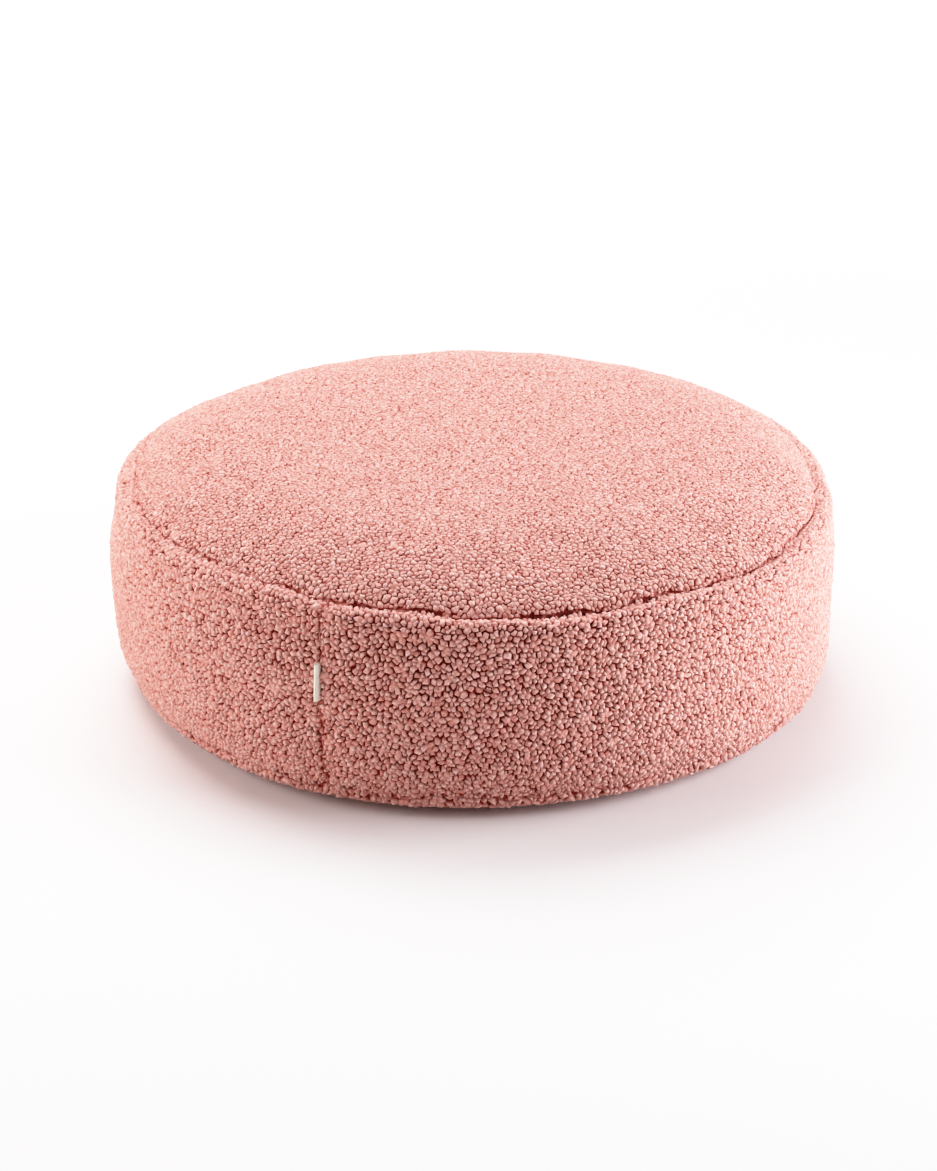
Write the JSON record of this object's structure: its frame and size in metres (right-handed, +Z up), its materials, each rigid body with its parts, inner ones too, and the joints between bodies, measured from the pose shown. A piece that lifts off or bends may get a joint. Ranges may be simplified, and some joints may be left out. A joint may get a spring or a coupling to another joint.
{
  "type": "teddy pouf",
  "caption": "Low round floor pouf in curly teddy fleece: crowned top panel, filled side band with an upright seam, base panel and a folded ribbon tag.",
  "frame": {"origin": "on the floor under the middle of the pouf", "axes": "+Z up, the front towards -Y, +X to the right as seen from the front"},
  "size_m": [0.7496, 0.7504, 0.2476],
  "materials": {
    "teddy_fleece": "curly pile, matt",
    "cotton_ribbon": "plain weave, matt"
  },
  "bodies": {
    "root": {"top_panel": "teddy_fleece", "side_band": "teddy_fleece", "base_panel": "teddy_fleece", "seam_tag": "cotton_ribbon"}
  },
  "joints": []
}
